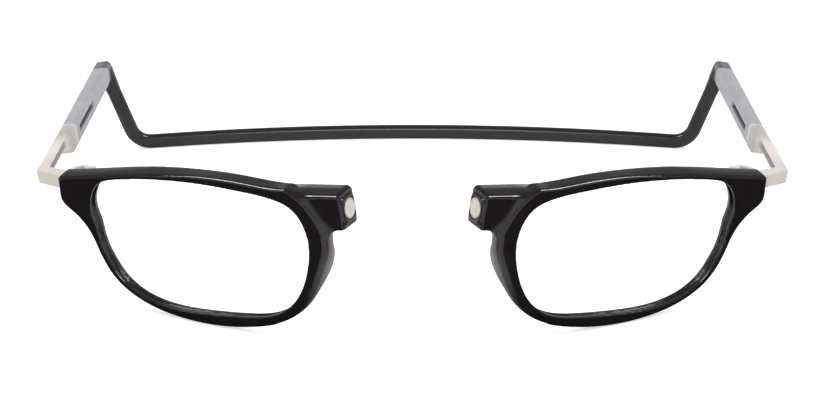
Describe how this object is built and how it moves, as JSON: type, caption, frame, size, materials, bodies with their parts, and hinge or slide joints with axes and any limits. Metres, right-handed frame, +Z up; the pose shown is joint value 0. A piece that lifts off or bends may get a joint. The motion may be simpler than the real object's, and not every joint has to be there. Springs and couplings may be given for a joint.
{
  "type": "magnetic bridge reading glasses",
  "caption": "Reading glasses that split at the nose bridge and close with magnets, on extendable arms joined by a one-piece band round the back of the head.",
  "frame": {"origin": "bottom centre of the bounding box, on the surface that the rims and the rear band stand on", "axes": "+Z up; the front faces -Y and the wearer's head would be towards +Y; left is -X as seen in the picture from the front"},
  "size_m": [0.1594, 0.1454, 0.0344],
  "materials": {
    "black_gloss_nylon": "polished injection-moulded black nylon with a faint purple cast",
    "clear_polycarbonate": "clear, polished on both sides",
    "nickel_plated_magnet": "nickel plate, slightly dulled",
    "stainless_steel": "turned stainless steel",
    "brass_insert": "turned brass",
    "satin_link_metal": "die-cast, satin champagne-silver coat",
    "silver_grey_sleeve": "nylon with a satin silver-grey coat that fades to black at the tip",
    "natural_nylon": "self-lubricating dark nylon",
    "black_soft_nylon": "flexible black nylon, semi-gloss"
  },
  "bodies": {
    "headband": {"headband_rear": "black_soft_nylon"},
    "left_temple": {"left_sleeve": "silver_grey_sleeve", "left_headband_leg": "black_soft_nylon"},
    "left_slider": {"left_temple_link": "satin_link_metal", "left_slider_tongue": "natural_nylon", "left_tongue_pin": "stainless_steel", "left_stop_pin": "stainless_steel", "left_detent_spring": "stainless_steel"},
    "left_front": {"left_half_front": "black_gloss_nylon", "left_lens": "clear_polycarbonate", "left_magnet": "nickel_plated_magnet", "left_magnet_cup": "stainless_steel", "left_hinge_screw": "stainless_steel", "left_hinge_insert": "brass_insert"},
    "right_temple": {"right_sleeve": "silver_grey_sleeve", "right_headband_leg": "black_soft_nylon"},
    "right_slider": {"right_temple_link": "satin_link_metal", "right_slider_tongue": "natural_nylon", "right_tongue_pin": "stainless_steel", "right_stop_pin": "stainless_steel", "right_detent_spring": "stainless_steel"},
    "right_front": {"right_half_front": "black_gloss_nylon", "right_lens": "clear_polycarbonate", "right_magnet": "nickel_plated_magnet", "right_magnet_cup": "stainless_steel", "right_hinge_screw": "stainless_steel", "right_hinge_insert": "brass_insert"}
  },
  "joints": [
    {"name": "left_flex", "type": "hinge", "parent": "headband", "child": "left_temple", "pos_m": [-0.035, 0.06904, 0.0017], "axis": [0.0045, 0.9983, -0.0573], "range_deg": [-6, 9.02], "stiffness_Nm_per_rad": 0.5},
    {"name": "left_slide", "type": "slide", "parent": "left_temple", "child": "left_slider", "axis": [-0.0277, -0.9994, 0.0186], "range_m": [0, 0.02]},
    {"name": "left_hinge", "type": "hinge", "parent": "left_slider", "child": "left_front", "pos_m": [-0.06435, -0.03756, -0.00373], "axis": [-0.1564, 0, 0.9877], "range_deg": [-8, 112]},
    {"name": "right_flex", "type": "hinge", "parent": "headband", "child": "right_temple", "pos_m": [0.035, 0.06904, 0.0017], "axis": [0.0045, -0.9983, 0.0573], "range_deg": [-6, 9.02], "stiffness_Nm_per_rad": 0.5},
    {"name": "right_slide", "type": "slide", "parent": "right_temple", "child": "right_slider", "axis": [0.0277, -0.9994, 0.0186], "range_m": [0, 0.02]},
    {"name": "right_hinge", "type": "hinge", "parent": "right_slider", "child": "right_front", "pos_m": [0.06435, -0.03756, -0.00373], "axis": [-0.1564, 0, -0.9877], "range_deg": [-8, 112]}
  ],
  "couplings": [
    {"joint": "right_flex", "follows": "left_flex", "ratio": 1}
  ]
}
